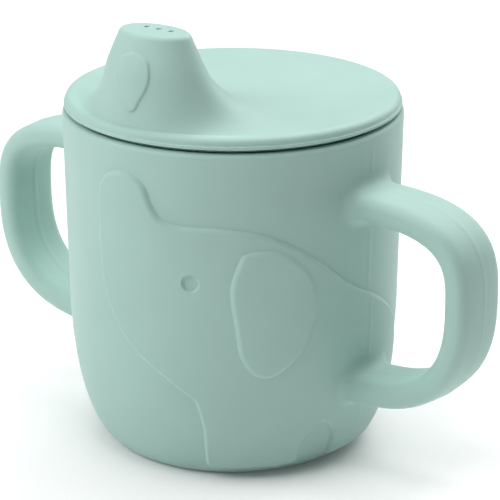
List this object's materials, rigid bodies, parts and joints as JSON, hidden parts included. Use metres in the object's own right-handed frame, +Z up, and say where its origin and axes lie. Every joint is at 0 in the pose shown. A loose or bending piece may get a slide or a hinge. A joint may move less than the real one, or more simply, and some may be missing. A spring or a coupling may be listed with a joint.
{
  "type": "sippy cup",
  "caption": "Toddler's drinking cup in soft silicone with a loop handle on each side, a lift-off lid with a tapered spout, and a low raised elephant on its wall.",
  "frame": {"origin": "centre of the base, on the surface that the cup stands on", "axes": "+Z up, handles along X, spout towards -Y"},
  "size_m": [0.1418, 0.0805, 0.1049],
  "materials": {
    "cup_silicone": "soft matte mint-green silicone",
    "lid_silicone": "soft matte mint-green silicone"
  },
  "bodies": {
    "cup": {"cup_shell": "cup_silicone", "left_handle": "cup_silicone", "right_handle": "cup_silicone", "elephant_relief": "cup_silicone"},
    "lid": {"lid": "lid_silicone", "spout": "lid_silicone"}
  },
  "joints": [
    {"name": "lid_lift", "type": "slide", "parent": "cup", "child": "lid", "axis": [0, 0, 1], "range_m": [0, 0.06]}
  ]
}
